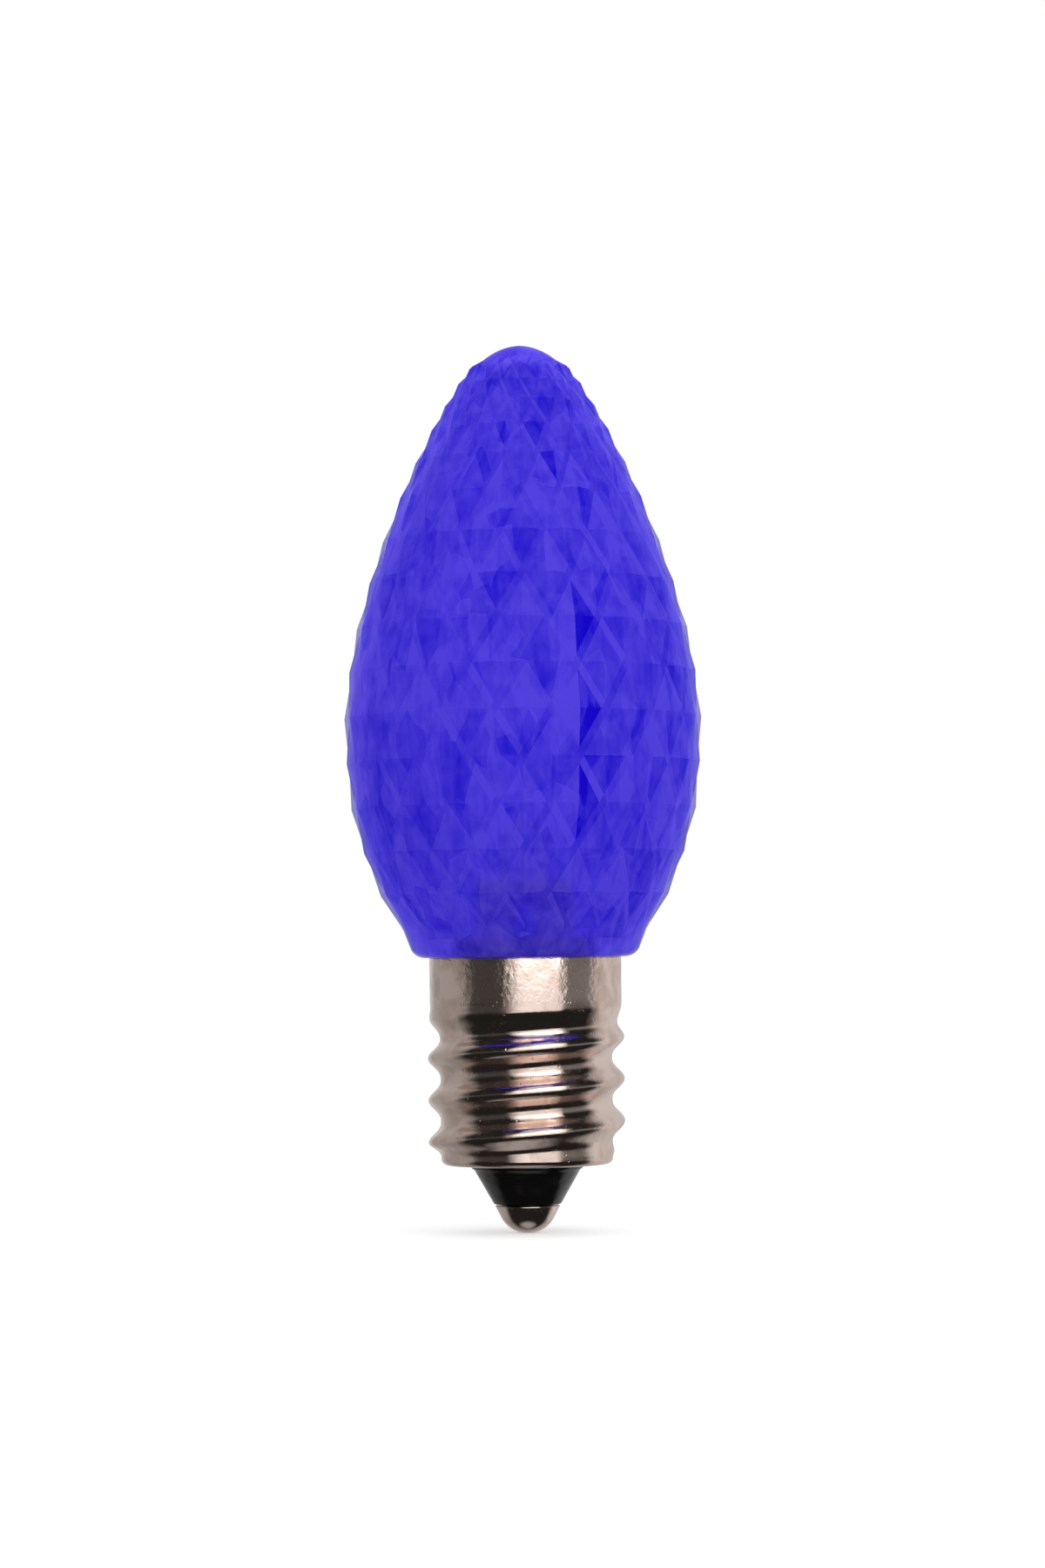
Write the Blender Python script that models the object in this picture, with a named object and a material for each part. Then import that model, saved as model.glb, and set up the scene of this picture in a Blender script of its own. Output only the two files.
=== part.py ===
"""LED christmas light bulb of C7 size: a faceted lens on an E12 screw base, with the parts inside.

Metres, +Z up. The origin is on the axis, in the plane of the lens's underside, and the contact points down.
"""

from math import cos, pi, radians, sin, tan, tau

import bmesh
import bpy
import numpy as np
from mathutils import Matrix, Vector

# Shared values
CLEARANCE = 0.0003
ROUND_SEGMENTS = 32
SMALL_SEGMENTS = 18

# Lens outline
LENS_HEIGHT = 0.03695
LENS_RADIUS = 0.0108
LENS_WIDEST = 0.0138
TIP_RADIUS = 0.0040
TIP_ANGLE = radians(53)
SHOULDER_HANDLE = 0.0042
UPPER_HANDLE = 0.0077
LOWER_HANDLE = 0.0064
FOOT_HANDLE = 0.0045
FOOT_LEAN = radians(30.5)
LENS_CORNER = 0.0010

# Seat: a flat ring of the lens's underside round the shell's rim, and a rebate over the rim
SEAT_WIDTH = 0.00018
SEAT_MARGIN = 0.00005
REBATE_DEPTH = 0.0001

# Lens wall and neck
LENS_WALL = 0.0010
LENS_FLOOR = 0.0012
NECK_WALL = 0.0010
INNER_RINGS = 9
FOOT_RINGS = 3
CROWN_RINGS = 3
CURVE_STEPS = 60

# Facets: raised diamonds between flat grooves
FACETS_AROUND = 20
FACET_HALF_HEIGHT = 0.00275
FACET_ASPECT = 2.1
FACETS_START = 0.0023
CROWN_RADIUS = 0.0019
GROOVE_WIDTH = 0.00047
GROOVE_SHARE = 0.17
GROOVE_DEPTH = 0.0002
FRONT_AZIMUTH = -pi / 2

# Screw shell
SHELL_HEIGHT = 0.0123
SHELL_THICKNESS = 0.0003
SHELL_BAND_RADIUS = 0.0058
SHELL_FOOT_RADIUS = 0.0052
SHELL_BEND = 0.0001
BAND_HEIGHT = 0.0024
THREAD_CREST_RADIUS = 0.00595
THREAD_ROOT_RADIUS = 0.0052
THREAD_PITCH = 0.00254
THREAD_FIRST_CREST = 0.0048
THREAD_RUN_IN = 0.0025
THREAD_RUN_OUT = 0.0009
CREST_SHARPNESS = 1.35
THREAD_LEVELS = 7
SHELL_COLUMNS = 28
BEND_STEPS = 3

# Insulator and contact
CONE_ANGLE = radians(29.7)
CONE_RADIUS = 0.0034
CONE_LENGTH = 0.00245
INSULATOR_DISC = 0.0009
SPIGOT_LENGTH = 0.0005
CONTACT_HEIGHT = 0.00168
CONTACT_THICKNESS = 0.0003
CONTACT_DOME = 0.0018
CONTACT_FLAT_RADIUS = 0.00045
DOME_STEPS = 4

# LED and its holder
LED_RADIUS = 0.0015
LED_HEIGHT = 0.0053
LED_FLANGE_RADIUS = 0.00195
LED_FLANGE_HEIGHT = 0.0009
LED_FLAT = 0.0016
LED_LEAD_SIZE = 0.0005
LED_LEAD_PITCH = 0.00254
LED_LEAD_STUB = 0.0005
LED_DOME_STEPS = 6
HOLDER_RADIUS = 0.0029
HOLDER_TOP = 0.0047
HOLDER_RIM = 0.0005
HOLDER_PLUG_TOP = 0.0012
HOLDER_FLANGE = 0.0006
HOLDER_SLOT_WIDTH = 0.0012
HOLDER_SLOT_HEIGHT = 0.0022

# Board, parts on it and wires
BOARD_THICKNESS = 0.0008
RESISTOR_RADIUS = 0.00115
RESISTOR_WAIST = 0.0009
RESISTOR_CAP = 0.0009
RESISTOR_END_ROOM = 0.0010
RESISTOR_LEAD_RADIUS = 0.00025
DIODE_WIDTH = 0.0016
DIODE_LENGTH = 0.0027
DIODE_HEIGHT = 0.0011
DIODE_TAB = 0.0004
DIODE_TAB_SHARE = 0.3
DIODE_OFFSET = 0.00275
SIDE_WIRE_RADIUS = 0.0003
SIDE_WIRE_OFFSET = 0.0031
WIRE_BEND_START = 0.15
WIRE_BEND_END = 0.45
WIRE_END = 0.6
WIRE_BEND_STEPS = 8
SOLDER_RADIUS = 0.0005

# Values that follow from the sizes above
seat_radius = SHELL_BAND_RADIUS + SEAT_MARGIN
underside_radius = seat_radius + SEAT_WIDTH
shell_top = REBATE_DEPTH - CLEARANCE
shell_bottom = shell_top - SHELL_HEIGHT
shell_bore = min(THREAD_ROOT_RADIUS, SHELL_FOOT_RADIUS) - SHELL_THICKNESS
fit_radius = shell_bore - CLEARANCE
neck_radius = SHELL_BAND_RADIUS - SHELL_THICKNESS - CLEARANCE
neck_bore = neck_radius - NECK_WALL
neck_bottom = shell_top - BAND_HEIGHT
holder_flange_top = neck_bottom - CLEARANCE
holder_bottom = holder_flange_top - HOLDER_FLANGE
holder_shoulder = HOLDER_TOP - HOLDER_RIM
led_bottom = holder_shoulder - CLEARANCE - LED_FLANGE_HEIGHT
led_bore = LED_RADIUS + CLEARANCE
flange_bore = LED_FLANGE_RADIUS + CLEARANCE
board_top = holder_bottom - CLEARANCE
board_bottom = board_top - BOARD_THICKNESS
disc_bottom = shell_bottom + SHELL_THICKNESS + CLEARANCE
disc_top = disc_bottom + INSULATOR_DISC
contact_top = shell_bottom - CONE_LENGTH
contact_bottom = contact_top - CONTACT_HEIGHT
lead_hole = RESISTOR_LEAD_RADIUS + CLEARANCE


def clear_scene():
    for item in list(bpy.data.objects):
        bpy.data.objects.remove(item, do_unlink=True)


def make_material(name, colour, roughness, metallic=0.0, transmission=0.0):
    material = bpy.data.materials.new(name)
    material.use_nodes = True
    shader = material.node_tree.nodes["Principled BSDF"]
    shader.inputs["Base Color"].default_value = (*colour, 1.0)
    shader.inputs["Roughness"].default_value = roughness
    shader.inputs["Metallic"].default_value = metallic
    shader.inputs["Transmission Weight"].default_value = transmission
    return material


def add_object(name, bm, material, smooth_angle=radians(35)):
    """Turns a bmesh into a named object. With no smooth angle its faces keep their own shading."""
    bmesh.ops.recalc_face_normals(bm, faces=bm.faces)
    mesh = bpy.data.meshes.new(name)
    bm.to_mesh(mesh)
    bm.free()
    if smooth_angle is not None:
        mesh.shade_smooth()
        mesh.set_sharp_from_angle(angle=smooth_angle)
    mesh.materials.append(material)
    item = bpy.data.objects.new(name, mesh)
    bpy.context.scene.collection.objects.link(item)
    return item


def arc(centre_radius, centre_height, radius, start, end, steps):
    """Points on an arc in the profile plane, as radius and height."""
    angles = np.linspace(start, end, steps + 1)
    return [(centre_radius + radius * cos(a), centre_height + radius * sin(a)) for a in angles]


def curve(start, first_handle, second_handle, end, steps):
    """Points on a cubic curve in the profile plane."""
    t = np.linspace(0.0, 1.0, steps + 1)[:, None]
    corners = [np.array(p) for p in (start, first_handle, second_handle, end)]
    weights = ((1 - t) ** 3, 3 * (1 - t) ** 2 * t, 3 * (1 - t) * t**2, t**3)
    return [tuple(p) for p in sum(w * p for w, p in zip(weights, corners))]


def turn(name, profile, material, segments=ROUND_SEGMENTS, closed=False):
    """Spins a profile of radius and height round the axis. A closed profile makes a ring-shaped piece."""
    bm = bmesh.new()
    verts = [bm.verts.new((radius, 0.0, height)) for radius, height in profile]
    pairs = list(zip(verts, verts[1:]))
    if closed:
        pairs.append((verts[-1], verts[0]))
    edges = [bm.edges.new(pair) for pair in pairs]
    bmesh.ops.spin(
        bm, geom=verts + edges, cent=(0, 0, 0), axis=(0, 0, 1), angle=tau, steps=segments, use_merge=True
    )
    bmesh.ops.remove_doubles(bm, verts=bm.verts, dist=1e-6)
    return add_object(name, bm, material)


def box_mesh(size, centre):
    bm = bmesh.new()
    bmesh.ops.create_cube(bm, size=1.0, matrix=Matrix.Translation(centre) @ Matrix.Diagonal((*size, 1.0)))
    return bm


def cut(item, cutter):
    """Cuts one object out of another, and keeps the cutter as a hidden wire guide."""
    cutter.hide_render = True
    cutter.display_type = "WIRE"
    modifier = item.modifiers.new(cutter.name, "BOOLEAN")
    modifier.operation = "DIFFERENCE"
    modifier.solver = "EXACT"
    modifier.object = cutter


def hole_cutter(name, x, y, radius, bottom, top):
    bm = bmesh.new()
    bmesh.ops.create_cone(
        bm,
        cap_ends=True,
        segments=SMALL_SEGMENTS,
        radius1=radius,
        radius2=radius,
        depth=top - bottom,
        matrix=Matrix.Translation((x, y, (bottom + top) / 2)),
    )
    return add_object(name, bm, cutter_material)


class LensOutline:
    """The lens's outside in the profile plane, with lengths measured from the underside to the tip."""

    def __init__(self):
        foot = (underside_radius + LENS_CORNER * cos(FOOT_LEAN), LENS_CORNER - LENS_CORNER * sin(FOOT_LEAN))
        widest = (LENS_RADIUS, LENS_WIDEST)
        tip_centre = LENS_HEIGHT - TIP_RADIUS
        shoulder = (TIP_RADIUS * sin(TIP_ANGLE), tip_centre + TIP_RADIUS * cos(TIP_ANGLE))
        points = arc(underside_radius, LENS_CORNER, LENS_CORNER, -pi / 2, -FOOT_LEAN, CURVE_STEPS)
        self.foot_index = len(points) - 1
        points += curve(
            foot,
            (foot[0] + FOOT_HANDLE * sin(FOOT_LEAN), foot[1] + FOOT_HANDLE * cos(FOOT_LEAN)),
            (LENS_RADIUS, LENS_WIDEST - LOWER_HANDLE),
            widest,
            CURVE_STEPS,
        )[1:]
        points += curve(
            widest,
            (LENS_RADIUS, LENS_WIDEST + UPPER_HANDLE),
            (shoulder[0] + SHOULDER_HANDLE * cos(TIP_ANGLE), shoulder[1] - SHOULDER_HANDLE * sin(TIP_ANGLE)),
            shoulder,
            CURVE_STEPS,
        )[1:]
        points += arc(0.0, tip_centre, TIP_RADIUS, pi / 2 - TIP_ANGLE, pi / 2, CURVE_STEPS)[1:]
        self.points = np.array(points)
        steps = np.diff(self.points, axis=0)
        self.lengths = np.concatenate([[0.0], np.cumsum(np.hypot(steps[:, 0], steps[:, 1]))])
        along = np.gradient(self.points, self.lengths, axis=0)
        along /= np.hypot(along[:, 0], along[:, 1])[:, None]
        self.inward = np.stack([-along[:, 1], along[:, 0]], axis=1)
        self.foot = self.lengths[self.foot_index]
        self.end = self.lengths[-1]

    def at(self, length, depth=0.0):
        """Radius and height at a length along the outline, a depth below the surface."""
        point = [np.interp(length, self.lengths, self.points[:, k]) for k in (0, 1)]
        normal = [np.interp(length, self.lengths, self.inward[:, k]) for k in (0, 1)]
        return point[0] + depth * normal[0], point[1] + depth * normal[1]

    def radius(self, length):
        return self.at(length)[0]

    def length_at_height(self, height, depth):
        """Where the surface at a depth crosses a height, on the lower part of the lens."""
        lengths = np.linspace(self.foot, self.end, 4 * CURVE_STEPS)
        heights = [self.at(length, depth)[1] for length in lengths]
        return float(np.interp(height, heights, lengths))


def facet_rows(outline):
    """Lengths of the rows of crossings. Cells keep their shape, so rows are closer where the lens narrows."""
    rows = [FACETS_START]
    while True:
        half_width = outline.radius(rows[-1]) * pi / FACETS_AROUND
        following = rows[-1] + min(FACET_HALF_HEIGHT, FACET_ASPECT * half_width)
        if following >= outline.end or outline.radius(following) < CROWN_RADIUS:
            return rows
        rows.append(following)


def lens_vertex(bm, outline, length, column, depth):
    radius, height = outline.at(length, depth)
    azimuth = FRONT_AZIMUTH + column * pi / FACETS_AROUND
    return bm.verts.new((radius * cos(azimuth), radius * sin(azimuth), height))


def lens_ring(bm, radius, height):
    """One vertex for each column of the lens, or a single one on the axis."""
    if radius < 1e-9:
        return [bm.verts.new((0.0, 0.0, height))]
    azimuths = [FRONT_AZIMUTH + column * pi / FACETS_AROUND for column in range(2 * FACETS_AROUND)]
    return [bm.verts.new((radius * cos(a), radius * sin(a), height)) for a in azimuths]


def join_rings(bm, rings):
    for lower, upper in zip(rings, rings[1:]):
        count = max(len(lower), len(upper))
        for k in range(count):
            after = (k + 1) % count
            corners = [lower[k % len(lower)], lower[after % len(lower)]]
            corners += [upper[after % len(upper)], upper[k % len(upper)]]
            bm.faces.new(list(dict.fromkeys(corners)))


def groove_inset(outline, rows, row):
    """Share of a cell's half diagonals that its grooves take up in this row."""
    half_width = outline.radius(rows[row]) * pi / FACETS_AROUND
    neighbours = rows[max(row - 1, 0)], rows[min(row + 1, len(rows) - 1)]
    half_height = (neighbours[1] - neighbours[0]) / 2
    to_edge = half_width * half_height / np.hypot(half_width, half_height)
    return min(GROOVE_WIDTH / 2 / to_edge, GROOVE_SHARE)


def facet_cells(bm, outline, rows, first_ring, last_ring):
    """Corners of each cell. The first and last row hold half cells, whose sides end in the rings."""
    columns = 2 * FACETS_AROUND
    last = len(rows) - 1
    cells = {}
    for row, length in enumerate(rows):
        for column in range((row + 1) % 2, columns, 2):
            share = 1 - groove_inset(outline, rows, row)
            cell = {}
            if row > 0:
                below = length - share * (length - rows[row - 1])
                cell["below"] = lens_vertex(bm, outline, below, column, GROOVE_DEPTH)
            if row < last:
                above = length + share * (rows[row + 1] - length)
                cell["above"] = lens_vertex(bm, outline, above, column, GROOVE_DEPTH)
            if 0 < row < last:
                cell["right"] = lens_vertex(bm, outline, length, column + share, GROOVE_DEPTH)
                cell["left"] = lens_vertex(bm, outline, length, column - share, GROOVE_DEPTH)
            else:
                ring = first_ring if row == 0 else last_ring
                cell["right"] = ring[(column + 1) % columns]
                cell["left"] = ring[(column - 1) % columns]
            cells[row, column] = cell
    return cells


def add_pyramid(bm, cell, peak):
    corners = [cell[side] for side in ("below", "right", "above", "left")]
    for k in range(4):
        bm.faces.new((corners[k], corners[(k + 1) % 4], peak))


def add_facets(bm, outline, rows, first_ring, last_ring):
    """The faceted outside: pyramids, groove strips between them, and a small face where grooves cross."""
    columns = 2 * FACETS_AROUND
    last = len(rows) - 1
    cells = facet_cells(bm, outline, rows, first_ring, last_ring)
    for (row, column), cell in cells.items():
        if row == 0:
            bm.faces.new((cell["left"], first_ring[column], cell["right"], cell["above"]))
        elif row == last:
            bm.faces.new((cell["right"], last_ring[column], cell["left"], cell["below"]))
        else:
            add_pyramid(bm, cell, lens_vertex(bm, outline, rows[row], column, 0.0))
        if row < last:
            right = cells[row + 1, (column + 1) % columns]
            left = cells[row + 1, (column - 1) % columns]
            bm.faces.new((cell["right"], right["below"], right["left"], cell["above"]))
            bm.faces.new((cell["left"], cell["above"], left["right"], left["below"]))
    for row in range(1, last):
        for column in range(row % 2, columns, 2):
            left = cells[row, (column - 1) % columns]["right"]
            right = cells[row, (column + 1) % columns]["left"]
            bm.faces.new((left, cells[row - 1, column]["above"], right, cells[row + 1, column]["below"]))


def build_lens(material):
    """One hollow moulding: faceted outside, smooth inside, a neck in the shell and a rebate over its rim."""
    outline = LensOutline()
    rows = facet_rows(outline)
    bm = bmesh.new()
    first_ring = lens_ring(bm, *outline.at(rows[0], GROOVE_DEPTH))
    last_ring = lens_ring(bm, *outline.at(rows[-1], GROOVE_DEPTH))
    add_facets(bm, outline, rows, first_ring, last_ring)
    facets = list(bm.faces)

    crown = [last_ring]
    for share in np.linspace(0.0, 1.0, CROWN_RINGS + 1)[1:-1]:
        length = rows[-1] + share * (outline.end - rows[-1])
        crown.append(lens_ring(bm, *outline.at(length, (1 - share) * GROOVE_DEPTH)))
    crown.append(lens_ring(bm, 0.0, LENS_HEIGHT))
    join_rings(bm, crown)

    foot = [first_ring]
    for length in np.linspace(outline.foot, 0.0, FOOT_RINGS + 1):
        foot.append(lens_ring(bm, *outline.at(length)))
    foot.append(lens_ring(bm, seat_radius, 0.0))
    foot.append(lens_ring(bm, seat_radius, REBATE_DEPTH))
    foot.append(lens_ring(bm, neck_radius, REBATE_DEPTH))
    foot.append(lens_ring(bm, neck_radius, neck_bottom))
    foot.append(lens_ring(bm, neck_bore, neck_bottom))
    foot.append(lens_ring(bm, neck_bore, LENS_FLOOR))
    depth = GROOVE_DEPTH + LENS_WALL
    start = outline.length_at_height(LENS_FLOOR, depth)
    for length in np.linspace(start, outline.end, INNER_RINGS + 1)[:-1]:
        foot.append(lens_ring(bm, *outline.at(length, depth)))
    foot.append(lens_ring(bm, 0.0, LENS_HEIGHT - depth))
    join_rings(bm, foot)

    bmesh.ops.recalc_face_normals(bm, faces=bm.faces)
    for face in bm.faces:
        face.smooth = True
    for face in facets:
        face.smooth = False
    return add_object("lens", bm, material, smooth_angle=None)


def smooth_step(low, high, value):
    t = min(max((value - low) / (high - low), 0.0), 1.0)
    return t * t * (3 - 2 * t)


def shell_radius(azimuth, height):
    """Outside of the rolled sheet: the plain band, a rounded right-hand thread, and the drawn-in foot."""
    turns = azimuth / tau - (height + THREAD_FIRST_CREST) / THREAD_PITCH
    wave = (0.5 + 0.5 * cos(tau * turns)) ** CREST_SHARPNESS
    thread = THREAD_ROOT_RADIUS + (THREAD_CREST_RADIUS - THREAD_ROOT_RADIUS) * wave
    thread_start = shell_top - BAND_HEIGHT
    run_in = smooth_step(0.0, THREAD_RUN_IN, thread_start - height)
    radius = SHELL_BAND_RADIUS + (thread - SHELL_BAND_RADIUS) * run_in
    foot_height = shell_bottom + SHELL_BEND + SHELL_THICKNESS
    run_out = smooth_step(0.0, THREAD_RUN_OUT, foot_height + THREAD_RUN_OUT - height)
    return radius + (SHELL_FOOT_RADIUS - radius) * run_out


def thread_wall(bm, top, bottom, offset):
    """A wall between two heights whose rows of faces follow the thread's helix. Returns its end rings."""
    level_height = THREAD_PITCH / THREAD_LEVELS
    found = {}

    def vertex(column, level):
        azimuth = tau * column / SHELL_COLUMNS
        height = -THREAD_FIRST_CREST - level * level_height + THREAD_PITCH * column / SHELL_COLUMNS
        if height > top - level_height / 2:
            height = top
            level = "top"
        if height < bottom + level_height / 2:
            height = bottom
            level = "bottom"
        if (column, level) not in found:
            radius = shell_radius(azimuth, height) - offset
            found[column, level] = bm.verts.new((radius * cos(azimuth), radius * sin(azimuth), height))
        return found[column, level]

    first = -int((top + THREAD_FIRST_CREST) / level_height) - THREAD_LEVELS - 2
    last = int((-THREAD_FIRST_CREST - bottom) / level_height) + 2 * THREAD_LEVELS + 2
    for column in range(SHELL_COLUMNS):
        following = (column + 1) % SHELL_COLUMNS
        shift = THREAD_LEVELS if following == 0 else 0
        for level in range(first, last):
            corners = [
                vertex(column, level),
                vertex(column, level + 1),
                vertex(following, level + 1 - shift),
                vertex(following, level - shift),
            ]
            corners = list(dict.fromkeys(corners))
            if len(corners) > 2:
                bm.faces.new(corners)
    return [[found[column, end] for column in range(SHELL_COLUMNS)] for end in ("top", "bottom")]


def build_screw_shell(material):
    """Rolled sheet: plain band, thread through the sheet, and a foot turned in round the insulator."""
    bm = bmesh.new()
    thread_top = shell_top - BAND_HEIGHT
    corner = SHELL_BEND + SHELL_THICKNESS
    foot_height = shell_bottom + corner

    def ring(radius, height):
        azimuths = [tau * column / SHELL_COLUMNS for column in range(SHELL_COLUMNS)]
        return [bm.verts.new((radius * cos(a), radius * sin(a), height)) for a in azimuths]

    outer_top, outer_foot = thread_wall(bm, thread_top, foot_height, 0.0)
    inner_top, inner_foot = thread_wall(bm, thread_top, foot_height, SHELL_THICKNESS)
    rings = [outer_foot]
    bend = arc(SHELL_FOOT_RADIUS - corner, foot_height, corner, 0.0, -pi / 2, BEND_STEPS)
    rings += [ring(*point) for point in bend[1:]]
    hole = CONE_RADIUS + CLEARANCE
    rings.append(ring(hole, shell_bottom))
    rings.append(ring(hole, shell_bottom + SHELL_THICKNESS))
    rings.append(ring(SHELL_FOOT_RADIUS - corner, shell_bottom + SHELL_THICKNESS))
    rings.append(inner_foot)
    join_rings(bm, rings)
    rim = [
        outer_top,
        ring(SHELL_BAND_RADIUS, shell_top),
        ring(SHELL_BAND_RADIUS - SHELL_THICKNESS, shell_top),
        inner_top,
    ]
    join_rings(bm, rim)
    return add_object("screw_shell", bm, material, smooth_angle=radians(50))


def cone_radius(height):
    """Outside of the insulator's cone, which the contact carries on."""
    return CONE_RADIUS - (shell_bottom - height) * tan(CONE_ANGLE)


def build_insulator(material):
    """Black glass: a disc inside the shell, a cone below it and a spigot in the contact, with a wire hole."""
    cone_bottom = contact_top + CLEARANCE
    spigot_bottom = contact_top - SPIGOT_LENGTH
    contact_wall = CONTACT_THICKNESS / cos(CONE_ANGLE)
    spigot_radius = cone_radius(spigot_bottom) - contact_wall - CLEARANCE
    profile = [
        (lead_hole, disc_top),
        (fit_radius, disc_top),
        (fit_radius, disc_bottom),
        (CONE_RADIUS, disc_bottom),
        (CONE_RADIUS, shell_bottom),
        (cone_radius(cone_bottom), cone_bottom),
        (spigot_radius, cone_bottom),
        (spigot_radius, spigot_bottom),
        (lead_hole, spigot_bottom),
    ]
    return turn("insulator", profile, material, closed=True)


def build_contact(material):
    """Pressed nickel cup: it carries on the insulator's cone and ends in a dome with a small flat."""

    def dome(radius, base, flat):
        """The cup's end, from the flat up to where the dome meets the cone."""
        start = np.arcsin(flat / radius)
        angles = np.linspace(start, pi / 2 - CONE_ANGLE, DOME_STEPS + 1)
        return [(radius * sin(a), base + radius * (cos(start) - cos(a))) for a in angles]

    wall = CONTACT_THICKNESS / cos(CONE_ANGLE)
    outside = dome(CONTACT_DOME, contact_bottom, CONTACT_FLAT_RADIUS)
    floor = contact_bottom + CONTACT_THICKNESS
    inside = dome(CONTACT_DOME - CONTACT_THICKNESS, floor, CONTACT_FLAT_RADIUS)
    profile = [(0.0, contact_bottom), *outside, (cone_radius(contact_top), contact_top)]
    profile += [(cone_radius(contact_top) - wall, contact_top), *reversed(inside)]
    profile.append((0.0, floor))
    return turn("centre_contact", profile, material)


def build_holder(material):
    """Black moulding: a flange below the neck, a plug in it, and a slotted post round the LED's flange."""
    profile = [
        (flange_bore, holder_bottom),
        (fit_radius, holder_bottom),
        (fit_radius, holder_flange_top),
        (neck_bore - CLEARANCE, holder_flange_top),
        (neck_bore - CLEARANCE, HOLDER_PLUG_TOP),
        (HOLDER_RADIUS, HOLDER_PLUG_TOP),
        (HOLDER_RADIUS, HOLDER_TOP),
        (led_bore, HOLDER_TOP),
        (led_bore, holder_shoulder),
        (flange_bore, holder_shoulder),
    ]
    holder = turn("led_holder", profile, material, closed=True)
    slot_bottom = HOLDER_PLUG_TOP + CLEARANCE
    middle = slot_bottom + HOLDER_SLOT_HEIGHT / 2
    bm = box_mesh((HOLDER_SLOT_WIDTH, 3 * HOLDER_RADIUS, HOLDER_SLOT_HEIGHT), (0.0, 0.0, middle))
    cut(holder, add_object("holder_slot_cutter", bm, cutter_material))
    return holder


def build_led(material):
    """Clear resin: a flange with a flat on one side, a straight body and a half-round dome."""
    dome_centre = led_bottom + LED_HEIGHT - LED_RADIUS
    flange_top = led_bottom + LED_FLANGE_HEIGHT
    profile = [(0.0, led_bottom), (LED_FLANGE_RADIUS, led_bottom)]
    profile += [(LED_FLANGE_RADIUS, flange_top), (LED_RADIUS, flange_top)]
    profile += arc(0.0, dome_centre, LED_RADIUS, 0.0, pi / 2, LED_DOME_STEPS)[:-1]
    profile.append((0.0, dome_centre + LED_RADIUS))
    led = turn("led", profile, material, segments=SMALL_SEGMENTS)
    bm = bmesh.new()
    bm.from_mesh(led.data)
    flat = bmesh.ops.bisect_plane(
        bm,
        geom=bm.verts[:] + bm.edges[:] + bm.faces[:],
        dist=1e-7,
        plane_co=(0.0, LED_FLAT, 0.0),
        plane_no=(0.0, 1.0, 0.0),
        clear_outer=True,
    )
    edges = [item for item in flat["geom_cut"] if isinstance(item, bmesh.types.BMEdge)]
    bmesh.ops.edgeloop_fill(bm, edges=edges)
    bmesh.ops.recalc_face_normals(bm, faces=bm.faces)
    bm.to_mesh(led.data)
    bm.free()
    return led


def build_led_leads(material):
    """Two square leads from the LED down through the board, one behind the other in the slot."""
    top = led_bottom - CLEARANCE
    bottom = board_bottom - LED_LEAD_STUB
    size = (LED_LEAD_SIZE, LED_LEAD_SIZE, top - bottom)
    for name, side in (("anode_lead", -1), ("cathode_lead", 1)):
        bm = box_mesh(size, (0.0, side * LED_LEAD_PITCH / 2, (top + bottom) / 2))
        add_object(name, bm, material)


def build_board(material):
    """Round board under the holder, with holes for the LED's leads and for the side wire."""
    profile = [(0.0, board_bottom), (fit_radius, board_bottom), (fit_radius, board_top), (0.0, board_top)]
    board = turn("circuit_board", profile, material)
    led_hole = LED_LEAD_SIZE / 2 * 2**0.5 + CLEARANCE
    holes = [("anode_hole_cutter", 0.0, -LED_LEAD_PITCH / 2, led_hole)]
    holes.append(("cathode_hole_cutter", 0.0, LED_LEAD_PITCH / 2, led_hole))
    holes.append(("wire_hole_cutter", SIDE_WIRE_OFFSET, 0.0, SIDE_WIRE_RADIUS + CLEARANCE))
    for name, x, y, radius in holes:
        bottom = board_bottom - BOARD_THICKNESS
        cut(board, hole_cutter(name, x, y, radius, bottom, board_top + BOARD_THICKNESS))
    return board


def build_resistor(material):
    """Film resistor on the axis, between board and contact: two end caps, a waist, and straight leads."""
    body_top = board_bottom - RESISTOR_END_ROOM
    body_bottom = disc_top + RESISTOR_END_ROOM
    lead_top = board_bottom - CLEARANCE
    lead_bottom = contact_bottom + CONTACT_THICKNESS + CLEARANCE
    rounding = (RESISTOR_RADIUS - RESISTOR_WAIST) / 2
    half = [
        (RESISTOR_LEAD_RADIUS, 0.0),
        (RESISTOR_RADIUS - 2 * rounding, 0.0),
        (RESISTOR_RADIUS, 2 * rounding),
        (RESISTOR_RADIUS, RESISTOR_CAP),
        (RESISTOR_WAIST, RESISTOR_CAP + 2 * rounding),
    ]
    profile = [(0.0, lead_bottom), (RESISTOR_LEAD_RADIUS, lead_bottom)]
    profile += [(radius, body_bottom + step) for radius, step in half]
    profile += [(radius, body_top - step) for radius, step in reversed(half)]
    profile += [(RESISTOR_LEAD_RADIUS, lead_top), (0.0, lead_top)]
    return turn("series_resistor", profile, material, segments=SMALL_SEGMENTS)


def build_diode(material):
    """Small moulded diode under the board, with a flat tab at each end."""
    top = board_bottom - CLEARANCE
    centre = (-DIODE_OFFSET, 0.0, top - DIODE_HEIGHT / 2)
    bm = box_mesh((DIODE_WIDTH, DIODE_LENGTH, DIODE_HEIGHT), centre)
    ends = [face for face in bm.faces if abs(face.normal.y) > 0.9]
    bmesh.ops.inset_individual(bm, faces=ends, thickness=DIODE_TAB_SHARE * DIODE_HEIGHT)
    for face in ends:
        outward = Vector((0.0, face.normal.y, 0.0)).normalized() * DIODE_TAB
        extruded = bmesh.ops.extrude_discrete_faces(bm, faces=[face])["faces"][0]
        bmesh.ops.translate(bm, verts=extruded.verts, vec=outward)
    return add_object("rectifier_diode", bm, material)


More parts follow.
